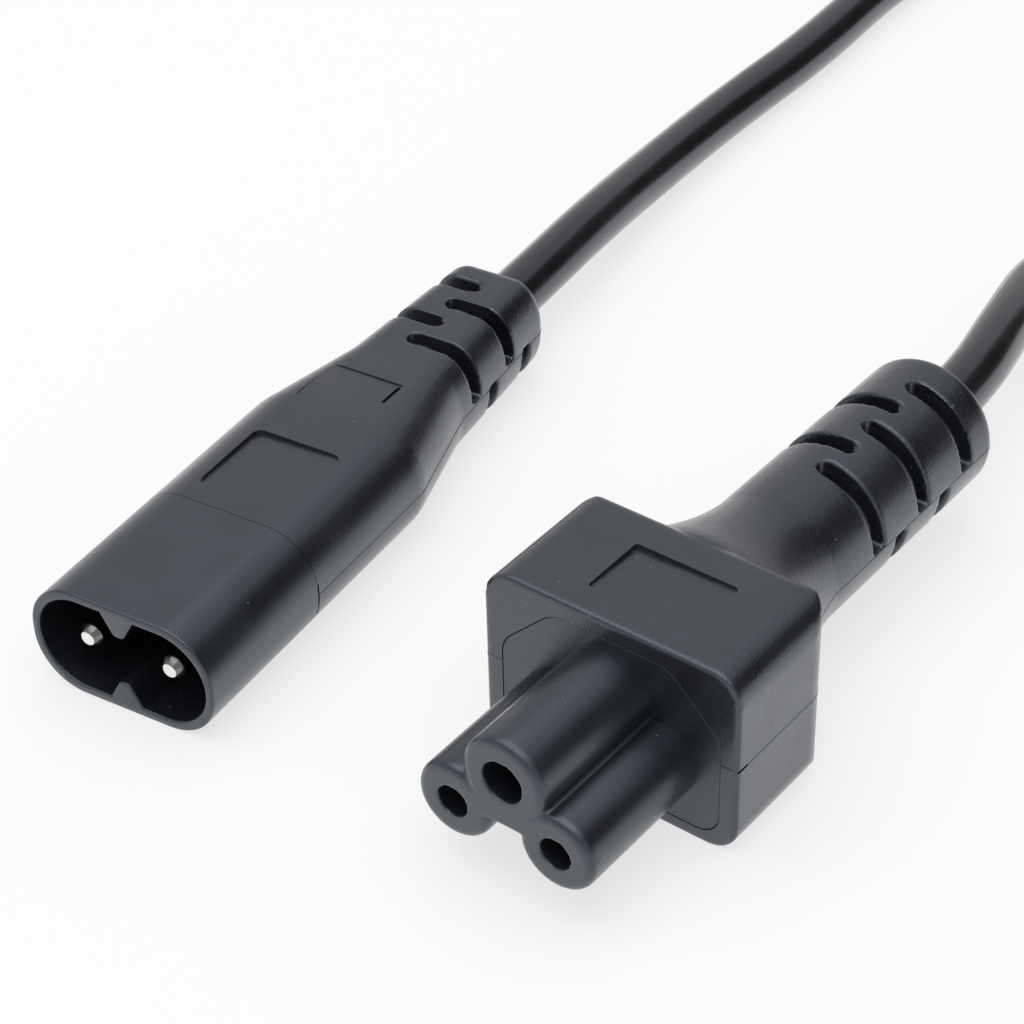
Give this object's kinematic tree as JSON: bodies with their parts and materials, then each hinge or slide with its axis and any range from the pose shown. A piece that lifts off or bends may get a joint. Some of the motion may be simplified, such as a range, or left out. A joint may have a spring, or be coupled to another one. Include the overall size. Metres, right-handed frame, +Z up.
{
  "type": "cloverleaf power cord",
  "caption": "Short black mains lead with a cloverleaf connector at one end and a two-pin appliance-inlet plug at the other.",
  "frame": {"origin": "middle of the underside of the cloverleaf connector's square body, which is the surface that the lead lies on", "axes": "+Z up from the surface, +Y from the cloverleaf nose towards its cord, +X to the right of someone who looks along +Y"},
  "size_m": [0.0726, 0.1953, 0.0181],
  "materials": {
    "soft_black": "fine satin grain, soft moulding",
    "hard_black": "smooth satin, hard moulding",
    "cord_black": "smooth, slightly glossy sheath",
    "pin_metal": "bright nickel plate",
    "contact_metal": "plain brass",
    "copper": "bare copper strand",
    "brown_core": "plain core insulation",
    "blue_core": "plain core insulation"
  },
  "bodies": {
    "root": {"cloverleaf_carrier": "hard_black", "cloverleaf_overmould": "soft_black", "line_socket_contact": "contact_metal", "neutral_socket_contact": "contact_metal", "plug_shell": "hard_black", "plug_overmould": "soft_black", "line_pin": "pin_metal", "neutral_pin": "pin_metal", "cord_jacket": "cord_black", "line_core_insulation": "brown_core", "line_conductor": "copper", "neutral_core_insulation": "blue_core", "neutral_conductor": "copper"}
  },
  "joints": []
}
